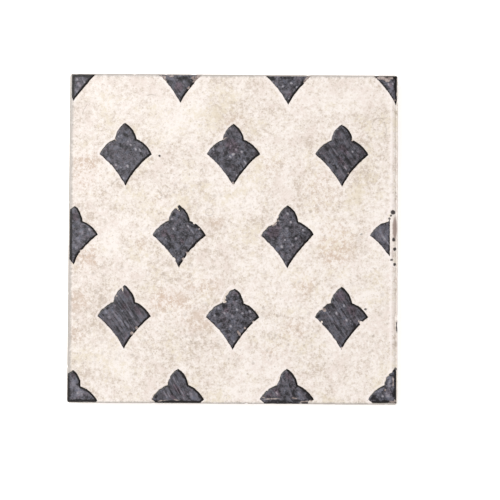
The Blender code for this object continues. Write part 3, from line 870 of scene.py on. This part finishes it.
def paintedEdgeShade(points):
    # painted shade over the rounded top edges, less of it lower down the sides
    edgeShading = np.zeros(len(points))
    for side, reach in sideReaches(points[:, 0], points[:, 1]).items():
        width, strength = glazeForm["edgeShades"][side]
        edgeShading = np.maximum(edgeShading, strength * np.clip((reach + width) / width, 0, 1))
    fade = (faceZ - points[:, 2] - glazeForm["fadeFrom"]) / glazeForm["fadeLength"]
    return edgeShading * np.clip(1 - fade, glazeForm["sideShade"], 1)


def pinholeDepth(points):
    # pinholes that burst in the firing
    rng = random.Random(glazeForm["seed"])
    area = glazeForm["pitArea"]
    sunk = np.zeros(len(points))
    for _ in range(glazeForm["pits"]):
        x = rng.uniform(-area, area) * half
        y = rng.triangular(-area, area, glazeForm["pitCrowd"]) * half
        radius = rng.uniform(*glazeForm["pitRadius"])
        depth = rng.uniform(*glazeForm["pitDepth"])
        near = np.flatnonzero((np.abs(points[:, 0] - x) < radius) & (np.abs(points[:, 1] - y) < radius))
        away = np.hypot(points[near, 0] - x, points[near, 1] - y) / radius
        sunk[near] = np.maximum(sunk[near], depth * np.clip(1 - away ** 2, 0, 1))
    return sunk


def makeGlazeCoat(material, outline):
    bottomZ = faceZ - glazeForm["lap"]
    coat = makeSlabShell(
        "glaze_coat", bottomZ, faceZ, 0.0, glazeForm["cuts"], glazeForm["sideCuts"], 0.0, True,
    )
    points = readPoints(coat)
    runDown(points, bottomZ)
    raised = np.clip((points[:, 2] - bottomZ) / glazeForm["reliefFade"], 0, 1)
    points[:, 2] += faceRelief(points[:, 0], points[:, 1]) * raised
    # painted shade over the rounded edges
    edgeShading = paintedEdgeShade(points)
    # painted highlight round the motifs and along the bead
    highlightHalo = paintedHighlightAround(points[:, 0], points[:, 1], outline)
    onFace = points[:, 2] > faceZ - mm
    highlightHalo = np.maximum(highlightHalo, glazeForm["beadHighlight"] * beadShare(points[:, 0]) * onFace)
    waverSides(points)
    writePoints(coat, points)
    writeMask(coat, "rubbed", edgeShading)
    writeMask(coat, "highlightHalo", highlightHalo)

    # close it into a skin: a ledge under the lower edge, then up the inside and across
    selectRim(coat)
    inward = 1 - 2 * clayForm["inset"] / half
    bpy.ops.mesh.extrude_region_move(TRANSFORM_OT_translate={"value": (0, 0, 0)})
    bpy.ops.transform.resize(value=(inward, inward, 1), center_override=(0, 0, 0))
    backToObject()
    capRim(coat, glazeForm["innerZ"])

    # pinholes only in the outer skin, and chips where it doesn't face down
    points, normals = readPoints(coat), readPoints(coat, "normal")
    outer = points[:, 2] > glazeForm["innerZ"] + 0.1 * mm
    sunk = pinholeDepth(points)
    gone = np.where(outer, sunk, 0) + np.where(normals[:, 2] > -0.2, chipDepth(points), 0)
    writePoints(coat, points - normals * gone[:, None])
    writeMask(coat, "pinhole", sunk / glazeForm["pitDepth"][1])
    finishPiece(coat, material)


# Node helpers

def feed(tree, node, inputs):
    # links each input that comes from a socket, and sets the others
    for name, value in inputs.items():
        if isinstance(value, bpy.types.NodeSocket):
            tree.links.new(value, node.inputs[name])
        else:
            node.inputs[name].default_value = value


def addNode(tree, kind, inputs=None, **settings):
    made = tree.nodes.new(kind)
    for name, value in settings.items():
        setattr(made, name, value)
    feed(tree, made, inputs or {})
    return made


def calc(tree, operation, a, b=0.0, c=0.0, clamp=False):
    made = addNode(tree, "ShaderNodeMath", {0: a, 1: b, 2: c}, operation=operation, use_clamp=clamp)
    return made.outputs[0]


def calcVector(tree, vector, other, operation):
    # one place or size against another, axis by axis
    return addNode(tree, "ShaderNodeVectorMath", {0: vector, 1: other}, operation=operation).outputs[0]


def remap(tree, value, fromLow, fromHigh, toLow=0.0, toHigh=1.0):
    # a soft step between two values
    return addNode(
        tree, "ShaderNodeMapRange",
        {"Value": value, "From Min": fromLow, "From Max": fromHigh, "To Min": toLow, "To Max": toHigh},
        interpolation_type="SMOOTHSTEP",
    ).outputs["Result"]


def blendColours(tree, share, a, b, blend="MIX"):
    # the Mix node's colours are its inputs 6 and 7 and its output 2
    made = addNode(tree, "ShaderNodeMix", {0: share}, data_type="RGBA", blend_type=blend)
    for index, value in ((6, a), (7, b)):
        feed(tree, made, {index: (*value, 1.0) if isinstance(value, tuple) else value})
    return made.outputs[2]


def noiseAt(tree, vector, scale, detail=2.0, roughness=0.5):
    return addNode(
        tree, "ShaderNodeTexNoise",
        {"Vector": vector, "Scale": scale, "Detail": detail, "Roughness": roughness},
    )


def maskNamed(tree, name):
    return addNode(tree, "ShaderNodeAttribute", attribute_name=name).outputs["Fac"]


def newGroup(name, inputs, outputs):
    group = bpy.data.node_groups.new(name, "ShaderNodeTree")
    for socket, kind, value in inputs:
        made = group.interface.new_socket(socket, in_out="INPUT", socket_type=kind)
        if value is not None:
            made.default_value = value
    for socket in outputs:
        group.interface.new_socket(socket, in_out="OUTPUT", socket_type="NodeSocketFloat")
    return group, group.nodes.new("NodeGroupInput").outputs, group.nodes.new("NodeGroupOutput").inputs


def useGroup(tree, group, inputs):
    made = addNode(tree, "ShaderNodeGroup", node_tree=group)
    feed(tree, made, inputs)
    return made.outputs


# Effects shared by clay, glaze and enamel

def makeSoftPatch():
    # one smudge at a given place, full in its middle and gone at its size
    group, given, out = newGroup("softPatch", [
        ("Vector", "NodeSocketVector", None), ("Centre", "NodeSocketVector", None),
        ("Size", "NodeSocketVector", (0.01, 0.01, 0.01)), ("Strength", "NodeSocketFloat", 1.0),
        ("Core", "NodeSocketFloat", 0.25),
    ], ["Mask"])
    away = calcVector(group, given["Vector"], given["Centre"], "SUBTRACT")
    share = calcVector(group, away, given["Size"], "DIVIDE")
    length = addNode(group, "ShaderNodeVectorMath", {0: share}, operation="LENGTH")
    fall = remap(group, length.outputs["Value"], 1.0, given["Core"])
    group.links.new(calc(group, "MULTIPLY", fall, given["Strength"]), out["Mask"])
    return group


def makeSpeckle():
    # round specks in some cells only, each of its own size
    group, given, out = newGroup("speckle", [
        ("Vector", "NodeSocketVector", None), ("Scale", "NodeSocketFloat", 400.0),
        ("Share", "NodeSocketFloat", 0.3), ("Radius", "NodeSocketFloat", 0.3),
    ], ["Mask"])
    cells = addNode(group, "ShaderNodeTexVoronoi", {"Vector": given["Vector"], "Scale": given["Scale"]})
    tone = addNode(group, "ShaderNodeSeparateColor", {"Color": cells.outputs["Color"]})
    chosen = calc(group, "LESS_THAN", tone.outputs["Red"], given["Share"])
    size = calc(group, "MULTIPLY", given["Radius"], remap(group, tone.outputs["Green"], 0.0, 1.0, 0.45, 1.0))
    dot = remap(group, cells.outputs["Distance"], size, calc(group, "MULTIPLY", size, 0.35))
    strength = remap(group, tone.outputs["Blue"], 0.0, 1.0, 0.35, 1.0)
    mask = calc(group, "MULTIPLY", calc(group, "MULTIPLY", dot, chosen), strength)
    group.links.new(mask, out["Mask"])
    return group


def makeKilnGrain():
    # the grain of fired ware under everything: a cloud of all sizes, a tint and a fine height
    group, given, out = newGroup("kilnGrain", [
        ("Vector", "NodeSocketVector", None), ("Cloud Scale", "NodeSocketFloat", 45.0),
        ("Cloud Detail", "NodeSocketFloat", 5.0), ("Cloud Roughness", "NodeSocketFloat", 0.9),
        ("Grain Scale", "NodeSocketFloat", 800.0),
    ], ["Cloud", "Tint", "Grain"])
    cloud = noiseAt(
        group, given["Vector"], given["Cloud Scale"], given["Cloud Detail"], given["Cloud Roughness"]
    )
    tint = addNode(group, "ShaderNodeSeparateColor", {"Color": cloud.outputs["Color"]})
    grain = noiseAt(group, given["Vector"], given["Grain Scale"], 3.0, 0.55)
    group.links.new(cloud.outputs["Fac"], out["Cloud"])
    group.links.new(tint.outputs["Blue"], out["Tint"])
    group.links.new(grain.outputs["Fac"], out["Grain"])
    return group


def makeHairline():
    # a thin scratch along part of a ring
    group, given, out = newGroup("hairline", [
        ("Vector", "NodeSocketVector", None), ("Centre", "NodeSocketVector", None),
        ("Radius", "NodeSocketFloat", 0.005), ("Width", "NodeSocketFloat", 0.0004),
        ("From", "NodeSocketFloat", -1.0), ("To", "NodeSocketFloat", 1.0),
    ], ["Mask"])
    away = calcVector(group, given["Vector"], given["Centre"], "SUBTRACT")
    parts = addNode(group, "ShaderNodeSeparateXYZ", {"Vector": away})
    squares = [calc(group, "POWER", parts.outputs[axis], 2.0) for axis in ("X", "Y")]
    fromCentre = calc(group, "SQRT", calc(group, "ADD", *squares))
    offRing = calc(group, "ABSOLUTE", calc(group, "SUBTRACT", fromCentre, given["Radius"]))
    line = remap(group, offRing, given["Width"], 0.0)
    angle = calc(group, "ARCTAN2", parts.outputs["Y"], parts.outputs["X"])
    after = calc(group, "GREATER_THAN", angle, given["From"])
    before = calc(group, "LESS_THAN", angle, given["To"])
    mask = calc(group, "MULTIPLY", calc(group, "MULTIPLY", line, after), before)
    group.links.new(mask, out["Mask"])
    return group


def startMaterial(name):
    material = bpy.data.materials.new(name)
    material.use_nodes = True
    tree = material.node_tree
    shader = tree.nodes["Principled BSDF"]
    place = addNode(tree, "ShaderNodeTexCoord").outputs["Object"]
    return material, tree, shader, place


def addBump(tree, shader, height, distance, strength=1.0):
    bump = addNode(tree, "ShaderNodeBump", {"Height": height, "Distance": distance, "Strength": strength})
    tree.links.new(bump.outputs["Normal"], shader.inputs["Normal"])


def patchSum(tree, vector, patches, core=0.25):
    # the strongest of a list of soft patches: x, y, size x, size y in mm, strength
    total = None
    for x, y, sizeX, sizeY, strength in patches:
        mask = useGroup(tree, softPatch, {
            "Vector": vector, "Centre": (x * mm, y * mm, faceZ), "Size": (sizeX * mm, sizeY * mm, 1.0),
            "Strength": strength, "Core": core,
        })["Mask"]
        total = mask if total is None else calc(tree, "MAXIMUM", total, mask)
    return total


def wandering(tree, place, scale, reach):
    # the same place pushed about by noise, so that patches get uneven edges
    push = noiseAt(tree, place, scale, 3.0)
    centred = calcVector(tree, push.outputs["Color"], (0.5, 0.5, 0.5), "SUBTRACT")
    scaled = addNode(tree, "ShaderNodeVectorMath", {0: centred, "Scale": reach}, operation="SCALE")
    return calcVector(tree, place, scaled.outputs[0], "ADD")


# Cream glaze finish

glazeLook = {
    "cream": (0.768, 0.690, 0.628),
    "pale": (0.860, 0.795, 0.750),
    # the colour of the painted highlight round the motifs and on the bead
    "highlightHalo": (0.890, 0.820, 0.800),
    "beige": (0.555, 0.465, 0.392),
    "yellow": (0.720, 0.630, 0.490),
    "pink": (0.760, 0.655, 0.600),
    "warm": (0.610, 0.460, 0.360),
    # the colour of the painted shade over the rounded edges
    "edge": (0.440, 0.400, 0.368),
    "strip": (0.330, 0.245, 0.215),
    "speck": (0.360, 0.300, 0.250),
    "dark": (0.050, 0.040, 0.038),
    "roughness": 0.45,
    # where each colour starts and is full on the clouding or tint, then its least and most
    "paleRange": (0.49, 0.62),
    "beigeRange": (0.51, 0.34),
    "yellowRange": (0.50, 0.64, 0.0, 0.7),
    "pinkRange": (0.49, 0.36, 0.0, 0.7),
    "warmRange": (0.58, 0.40, 0.10, 0.9),
    "edgeShadeRange": (-0.25, 0.25),
    "edgeShadeCloud": -0.8,          # how much the clouding breaks the painted edge shade up
    "wander": (110.0, 9 * mm),  # noise scale and reach, for the uneven edges of stains
    "nearby": (900.0, 0.9 * mm),        # and for those of spots and scratches
    "grain": {"Cloud Scale": 36.0, "Cloud Detail": 6.0, "Cloud Roughness": 0.95, "Grain Scale": 700.0},
    "mottle": (480.0, 2.0, 0.9),        # its scale, detail and roughness
    "mottleShare": 0.62,
    "cloudShare": 1.02,
    "cloudOffset": -0.32,
    "calm": (0.5, 0.53),        # how far the pale spots calm the clouding, and to what level
    "paleLift": 0.05,           # what pale spots and stains add to it
    "stainDrop": -0.04,
    "fineSpecks": {"Scale": 520.0, "Share": 0.40, "Radius": 0.42},
    "coarseSpecks": {"Scale": 240.0, "Share": 0.55, "Radius": 0.34},
    "coarseLevel": 0.35,        # how strong they are, and how much more where the glaze is pitted
    "coarseMore": 0.75,
    "fineStrength": 0.7,
    "pinholeStrength": 0.40,
    "speckStrength": 0.95,
    "scratchStrength": 0.4,
    "stainDull": 0.3,           # what stains and dirt add to the roughness
    "dirtDull": 0.25,
    "cloudHeight": 1.5,         # shares of the bump
    "grainHeight": 0.5,
    "scratchDepth": 0.6,
    "bump": (0.12 * mm, 0.8),   # depth and strength
    # places on the face: x, y, size x, size y in mm, strength
    "stains": [
        (-89.5, 40.5, 13, 17, 0.75), (-88.5, -11.0, 11, 12, 0.75), (-94.0, -38.5, 10, 9, 0.5),
        (-95.0, -58.0, 8, 9, 0.35), (-38.5, -38.5, 17, 11, 0.85), (-18.0, -28.0, 15, 9, 0.5),
        (-10.5, 10.5, 7, 7, 0.4), (-44.0, 23.5, 8, 6, 0.4), (-55.0, -4.0, 7, 6, 0.35),
        (62.0, -4.0, 16, 20, 0.75), (42.0, -28.0, 9, 11, 0.75), (36.5, -55.5, 12, 9, 0.45),
        (54.0, 30.0, 16, 20, 0.35), (0.0, 69.0, 13, 8, 0.3), (22.0, 44.0, 12, 10, 0.3),
        (24.0, -68.0, 11, 8, 0.4), (-20.0, -50.0, 18, 9, 0.45),
    ],
    "paleSpots": [
        (-41.0, 72.0, 20, 20, 0.8), (71.0, 84.0, 20, 17, 0.8), (-75.0, -68.0, 26, 20, 0.9),
        (-2.0, 17.0, 12, 14, 0.5), (84.0, -50.0, 9, 34, 0.5), (-76.0, 80.0, 22, 18, 0.7),
    ],
    "pittedAreas": [
        (10.0, -60.0, 70, 34, 1.0), (-44.0, -62.0, 34, 24, 1.0), (85.0, -58.0, 14, 18, 1.0),
        (-38.0, 28.0, 30, 22, 0.7), (44.0, 10.0, 42, 34, 0.6),
    ],
    "darkSpots": [
        (99.4, -53.0, 1.0, 4.6, 1.0), (-45.0, 49.8, 0.9, 0.9, 1.0), (96.6, 16.3, 1.9, 1.7, 1.0),
        (95.4, 14.3, 0.8, 0.9, 0.9), (94.5, 12.5, 0.9, 0.9, 0.9), (97.7, -5.9, 1.3, 1.3, 1.0),
        (97.7, -15.2, 1.1, 1.1, 1.0), (95.8, -12.4, 1.1, 0.9, 0.9), (80.2, -42.4, 1.0, 0.9, 0.9),
        (98.4, -78.3, 1.3, 1.2, 0.9), (97.0, -0.1, 1.3, 1.5, 1.0), (77.5, 2.9, 1.0, 0.7, 0.5),
    ],
    # where the bead beside the right-hand motif is rubbed brown: x, y, size x, size y in mm, strength
    "brownStrips": [
        (97.8, 6.6, 1.9, 9.0, 0.9), (96.4, -9.0, 1.0, 4.0, 0.35), (97.9, 10.6, 1.2, 4.0, 0.5),
    ],
    # x, y, ring radius, width in mm, then the angles that it runs between
    "scratches": [
        (88.5, 69.0, 4.4, 0.7, 0.9, 3.6), (82.5, 66.0, 10.0, 0.7, -0.35, 0.55),
        (-78.0, 72.0, 14.0, 0.6, 2.45, 2.95), (-50.0, 82.0, 5.0, 0.6, 1.0, 2.2),
        (-66.0, 27.0, 9.0, 0.8, 1.9, 2.7), (-45.4, 25.5, 2.2, 0.7, -1.2, 1.6),
        (-39.3, 24.3, 1.8, 0.6, 0.4, 3.0), (-14.4, 15.8, 2.3, 0.6, -3.1, 3.1),
    ],
}


def scratchSum(tree, vector, scratches):
    total = None
    for x, y, radius, width, start, end in scratches:
        mask = useGroup(tree, hairline, {
            "Vector": vector, "Centre": (x * mm, y * mm, faceZ), "Radius": radius * mm, "Width": width * mm,
            "From": start, "To": end,
        })["Mask"]
        total = mask if total is None else calc(tree, "MAXIMUM", total, mask)
    return total


def makeGlazeMaterial():
    look = glazeLook
    material, tree, shader, place = startMaterial("creamGlaze")
    wander = wandering(tree, place, *look["wander"])
    nearby = wandering(tree, place, *look["nearby"])
    grain = useGroup(tree, kilnGrain, {"Vector": place, **look["grain"]})
    stains = patchSum(tree, wander, look["stains"])
    pale = patchSum(tree, wander, look["paleSpots"])
    pitted = patchSum(tree, wander, look["pittedAreas"])
    dark = patchSum(tree, nearby, look["darkSpots"], 0.6)

    # light and dark clouding of every size, then its tint
    mottle = noiseAt(tree, place, *look["mottle"]).outputs["Fac"]
    mixed = calc(tree, "MULTIPLY_ADD", grain["Cloud"], look["cloudShare"], look["cloudOffset"])
    mixed = calc(tree, "MULTIPLY_ADD", mottle, look["mottleShare"], mixed)
    calmShare, calmLevel = look["calm"]
    calmer = calc(tree, "MULTIPLY", pale, calmShare)
    mixed = addNode(tree, "ShaderNodeMix", {0: calmer, 2: mixed, 3: calmLevel}).outputs[0]
    lighter = calc(tree, "MULTIPLY_ADD", pale, look["paleLift"], mixed)
    darker = calc(tree, "MULTIPLY_ADD", stains, look["stainDrop"], mixed)
    colour = blendColours(tree, remap(tree, lighter, *look["paleRange"]), look["cream"], look["pale"])
    colour = blendColours(tree, remap(tree, darker, *look["beigeRange"]), colour, look["beige"])
    colour = blendColours(tree, remap(tree, grain["Tint"], *look["yellowRange"]), colour, look["yellow"])
    colour = blendColours(tree, remap(tree, grain["Tint"], *look["pinkRange"]), colour, look["pink"])
    tinted = calc(tree, "MULTIPLY", stains, remap(tree, mixed, *look["warmRange"]))
    colour = blendColours(tree, tinted, colour, look["warm"])
    # painted highlight round the motifs and along the bead
    colour = blendColours(tree, maskNamed(tree, "highlightHalo"), colour, look["highlightHalo"])

    # specks, pinholes and scratches
    fine = useGroup(tree, speckle, {"Vector": place, **look["fineSpecks"]})["Mask"]
    coarse = useGroup(tree, speckle, {"Vector": nearby, **look["coarseSpecks"]})["Mask"]
    stronger = calc(tree, "MULTIPLY_ADD", pitted, look["coarseMore"], look["coarseLevel"], clamp=True)
    coarse = calc(tree, "MULTIPLY", coarse, stronger)
    dirt = calc(tree, "MAXIMUM", calc(tree, "MULTIPLY", fine, look["fineStrength"]), coarse)
    pinholes = calc(tree, "MULTIPLY", maskNamed(tree, "pinhole"), look["pinholeStrength"])
    dirt = calc(tree, "MAXIMUM", dirt, pinholes)
    colour = blendColours(tree, calc(tree, "MULTIPLY", dirt, look["speckStrength"]), colour, look["speck"])
    scratch = scratchSum(tree, nearby, look["scratches"])
    scored = calc(tree, "MULTIPLY", scratch, look["scratchStrength"])
    colour = blendColours(tree, scored, colour, look["speck"])

    # painted shade over the rounded edges, with spatters of enamel beside them
    edgeShading = calc(tree, "MULTIPLY_ADD", mixed, look["edgeShadeCloud"], maskNamed(tree, "rubbed"))
    colour = blendColours(tree, remap(tree, edgeShading, *look["edgeShadeRange"]), colour, look["edge"])
    strips = patchSum(tree, nearby, look["brownStrips"], 0.5)
    colour = blendColours(tree, strips, colour, look["strip"])
    colour = blendColours(tree, dark, colour, look["dark"])
    tree.links.new(colour, shader.inputs["Base Color"])

    # duller where it is stained or dirty, and sunk at specks and scratches
    rough = calc(tree, "MULTIPLY_ADD", tinted, look["stainDull"], look["roughness"])
    rough = calc(tree, "MULTIPLY_ADD", dirt, look["dirtDull"], rough)
    tree.links.new(rough, shader.inputs["Roughness"])
    height = calc(tree, "MULTIPLY", grain["Cloud"], look["cloudHeight"])
    height = calc(tree, "MULTIPLY_ADD", grain["Grain"], look["grainHeight"], height)
    holes = calc(tree, "MULTIPLY_ADD", scratch, look["scratchDepth"], dirt)
    height = calc(tree, "SUBTRACT", height, holes)
    addBump(tree, shader, height, *look["bump"])
    return material


# Charcoal enamel finish

enamelLook = {
    "deep": (0.009, 0.008, 0.010),
    "grey": (0.180, 0.172, 0.202),
    # near black of the dark rim: pooled enamel, with painted shade on its side away from the light
    "pooled": (0.006, 0.004, 0.004),
    "fleck": (0.340, 0.320, 0.335),
    "blue": (0.110, 0.118, 0.165),
    "purple": (1.000, 0.760, 0.800),
    "rubbed": (0.430, 0.360, 0.335),
    "stained": (0.215, 0.165, 0.150),
    "roughness": 0.32,          # the least, to which clouding and worn places add
    "cloudDull": 0.2,
    "rubbedDull": 0.25,
    "specular": 0.3,
    "bristle": 900.0,           # streaks to the metre, across the brush
    "bristleLength": 75.0,
    "bend": (60.0, 3 * mm),     # noise scale and reach that bend the streaks
    "streaks": (1.0, 3.0, 0.7),         # scale, detail and roughness
    "streakShare": 0.55,
    "toneShare": 0.20,
    "fleckShare": 0.16,
    "grain": {"Cloud Scale": 300.0, "Cloud Detail": 3.0, "Cloud Roughness": 1.0, "Grain Scale": 900.0},
    "flecks": {"Scale": 480.0, "Share": 0.24, "Radius": 0.40},
    # where each colour starts and is full, then its least and most
    "greyRange": (0.352, 0.735),
    "blueRange": (0.50, 0.66),
    "warmRange": (0.0, 0.7, 0.0, 0.85),
    "tintRange": (0.49, 0.36, 0.0, 0.6),
    "fleckRange": (0.68, 0.94),
    "pooledAndShadeRange": (-0.10, 0.14),
    "pooledAndShadeCloud": -0.6,        # how much the clouding breaks the dark rim up,
    "rubbedRange": (0.62, 1.10),
    "rubbedCloud": 0.9,         # and the worn places
    "bareRange": (0.40, 0.60),
    "grainHeight": 0.4,         # its share of the bump
    "bump": (0.25 * mm, 0.8),   # depth and strength
}


def makeEnamelMaterial():
    look = enamelLook
    material, tree, shader, place = startMaterial("charcoalEnamel")
    shader.inputs["Specular IOR Level"].default_value = look["specular"]
    bent = wandering(tree, place, *look["bend"])
    turned = addNode(tree, "ShaderNodeMapping", {
        "Vector": bent, "Rotation": (0, 0, math.radians(-handWork["brushAngle"])),
    }).outputs["Vector"]
    stretched = addNode(tree, "ShaderNodeMapping", {
        "Vector": turned, "Scale": (look["bristleLength"], look["bristle"], 100.0),
    }).outputs["Vector"]
    streak = noiseAt(tree, stretched, *look["streaks"]).outputs["Fac"]
    grain = useGroup(tree, kilnGrain, {"Vector": place, **look["grain"]})
    fleck = useGroup(tree, speckle, {"Vector": place, **look["flecks"]})["Mask"]

    # clouding or streaks, then what each motif's marks do to them
    streaky = calc(tree, "MULTIPLY", maskNamed(tree, "brushed"), look["streakShare"])
    mixed = addNode(tree, "ShaderNodeMix", {0: streaky, 2: grain["Cloud"], 3: streak}).outputs[0]
    level = calc(tree, "MULTIPLY_ADD", maskNamed(tree, "tone"), look["toneShare"], mixed)
    level = calc(tree, "MULTIPLY_ADD", fleck, look["fleckShare"], level)
    shade = remap(tree, level, *look["greyRange"])
    colour = blendColours(tree, shade, look["deep"], look["grey"])
    cool = calc(tree, "MULTIPLY", remap(tree, grain["Tint"], *look["blueRange"]), shade)
    colour = blendColours(tree, cool, colour, look["blue"])
    warm = remap(tree, maskNamed(tree, "warm"), *look["warmRange"])
    warm = calc(tree, "MAXIMUM", warm, remap(tree, grain["Tint"], *look["tintRange"]))
    colour = blendColours(tree, warm, colour, look["purple"], "MULTIPLY")
    colour = blendColours(tree, remap(tree, level, *look["fleckRange"]), colour, look["fleck"])
    # the dark rim: pooled enamel, with painted shade on its side away from the light and along the tile's
    # rounded sides
    pooled = calc(tree, "MULTIPLY_ADD", grain["Cloud"], look["pooledAndShadeCloud"], maskNamed(tree, "pooled"))
    colour = blendColours(tree, remap(tree, pooled, *look["pooledAndShadeRange"]), colour, look["pooled"])
    worn = calc(tree, "MULTIPLY_ADD", grain["Cloud"], look["rubbedCloud"], maskNamed(tree, "worn"))
    # on the enamel this is real wear, rubbed down to the bare body
    rubbed = remap(tree, worn, *look["rubbedRange"])
    bare = remap(tree, grain["Cloud"], *look["bareRange"])
    bare = blendColours(tree, bare, look["stained"], look["rubbed"])
    colour = blendColours(tree, rubbed, colour, bare)
    tree.links.new(colour, shader.inputs["Base Color"])
    rough = calc(tree, "MULTIPLY_ADD", mixed, look["cloudDull"], look["roughness"])
    rough = calc(tree, "MULTIPLY_ADD", rubbed, look["rubbedDull"], rough)
    tree.links.new(rough, shader.inputs["Roughness"])
    height = calc(tree, "MULTIPLY_ADD", grain["Grain"], look["grainHeight"], mixed)
    addBump(tree, shader, height, *look["bump"])
    return material


# Bare fired clay finish

clayLook = {
    "clay": (0.470, 0.310, 0.205),
    "pale": (0.580, 0.430, 0.320),
    "fired": (0.300, 0.180, 0.120),
    "grog": (0.170, 0.105, 0.075),
    "roughness": 0.91,          # the most, from which the clouding takes
    "cloudDull": -0.15,
    # where each colour starts and is full, then its least and most
    "paleRange": (0.42, 0.66),
    "firedRange": (0.50, 0.30, 0.0, 0.7),
    "grain": {"Cloud Scale": 28.0, "Cloud Detail": 6.0, "Cloud Roughness": 0.75, "Grain Scale": 600.0},
    "grogSpecks": {"Scale": 420.0, "Share": 0.22, "Radius": 0.36},
    "grogStrength": 0.7,
    "dragScale": (60.0, 60.0, 1500.0),  # the lines that the mould left round the sides
    "drag": (1.0, 3.0, 0.6),
    "dragRange": (0.35, 0.68),
    "dragStrength": 0.2,
    "dragHeight": 0.8,                  # their share of the bump
    "bump": (0.2 * mm, 0.7),            # depth and strength
}


def makeClayMaterial():
    look = clayLook
    material, tree, shader, place = startMaterial("firedClay")
    grain = useGroup(tree, kilnGrain, {"Vector": place, **look["grain"]})
    grog = useGroup(tree, speckle, {"Vector": place, **look["grogSpecks"]})["Mask"]
    dragged = addNode(tree, "ShaderNodeMapping", {"Vector": place, "Scale": look["dragScale"]})
    drag = noiseAt(tree, dragged.outputs["Vector"], *look["drag"]).outputs["Fac"]
    drag = remap(tree, drag, *look["dragRange"])
    colour = blendColours(tree, remap(tree, grain["Cloud"], *look["paleRange"]), look["clay"], look["pale"])
    colour = blendColours(tree, remap(tree, grain["Cloud"], *look["firedRange"]), colour, look["fired"])
    colour = blendColours(tree, calc(tree, "MULTIPLY", drag, look["dragStrength"]), colour, look["pale"])
    colour = blendColours(tree, calc(tree, "MULTIPLY", grog, look["grogStrength"]), colour, look["grog"])
    tree.links.new(colour, shader.inputs["Base Color"])
    rough = calc(tree, "MULTIPLY_ADD", grain["Cloud"], look["cloudDull"], look["roughness"])
    tree.links.new(rough, shader.inputs["Roughness"])
    height = calc(tree, "SUBTRACT", grain["Grain"], grog)
    height = calc(tree, "MULTIPLY_ADD", drag, look["dragHeight"], height)
    addBump(tree, shader, height, *look["bump"])
    return material


# Pale table, soft studio light and the camera above

studio = {
    "frameWidth": 302.3 * mm,   # what the picture spans at the tile's face
    "aim": (10.34 * mm, -7.0 * mm),
    "lens": 90,
    "roll": 0.35,               # degrees; the tile lies turned by this in the picture
    "tilt": 1.75,               # degrees; the near side is a little larger in the picture
    "worldStrength": 0.40,
    "keyPower": 300.0,
    "keySize": 2.0,
    "keyFrom": (-2.60, 1.70, 4.80),
    "floorGlow": 0.65,
}


def makeStudio():
    scene = bpy.context.scene
    scene.view_settings.view_transform = "Standard"
    world = bpy.data.worlds.new("softRoom")
    scene.world = world
    world.use_nodes = True
    background = world.node_tree.nodes["Background"]
    background.inputs["Color"].default_value = (1.0, 0.995, 0.985, 1.0)
    background.inputs["Strength"].default_value = studio["worldStrength"]

    key = bpy.data.lights.new("softKey", "AREA")
    key.energy = studio["keyPower"]
    key.size = studio["keySize"]
    lamp = bpy.data.objects.new("softKey", key)
    scene.collection.objects.link(lamp)
    lamp.location = studio["keyFrom"]
    lamp.rotation_euler = Vector(studio["keyFrom"]).to_track_quat("Z", "Y").to_euler()

    deselectEverything()
    bpy.ops.mesh.primitive_plane_add(size=6, location=(0, 0, -0.1 * mm))
    table = bpy.context.object
    table.name = "table"
    white = bpy.data.materials.new("whiteTable")
    white.use_nodes = True
    surface = white.node_tree.nodes["Principled BSDF"]
    surface.inputs["Base Color"].default_value = (0.93, 0.93, 0.93, 1.0)
    surface.inputs["Roughness"].default_value = 0.9
    surface.inputs["Specular IOR Level"].default_value = 0.0
    surface.inputs["Emission Color"].default_value = (1.0, 1.0, 1.0, 1.0)
    surface.inputs["Emission Strength"].default_value = studio["floorGlow"]
    table.data.materials.append(white)

    lens = bpy.data.cameras.new("overhead")
    lens.lens = studio["lens"]
    lens.sensor_width = 36
    camera = bpy.data.objects.new("overhead", lens)
    scene.collection.objects.link(camera)
    distance = studio["frameWidth"] * studio["lens"] / lens.sensor_width
    aimX, aimY = studio["aim"]
    tilt = math.radians(studio["tilt"])
    camera.location = (aimX, aimY - distance * math.sin(tilt), faceZ + distance * math.cos(tilt))
    camera.rotation_euler = (tilt, 0, math.radians(studio["roll"]))
    scene.camera = camera


softPatch = makeSoftPatch()
speckle = makeSpeckle()
kilnGrain = makeKilnGrain()
hairline = makeHairline()
print("shared effects ready")

motifLine = motifOutline()
makeClayBody(makeClayMaterial())
print("clay body done")
makeGlazeCoat(makeGlazeMaterial(), motifLine)
print("glaze coat done")
enamelMaterial = makeEnamelMaterial()
masterMotif = makeMasterMotif(motifLine)
for motifName, motifWork in motifs.items():
    placeMotif(masterMotif, motifName, motifWork, enamelMaterial)
bpy.data.objects.remove(masterMotif)
print("enamel motifs done")
makeStudio()
print("studio done")
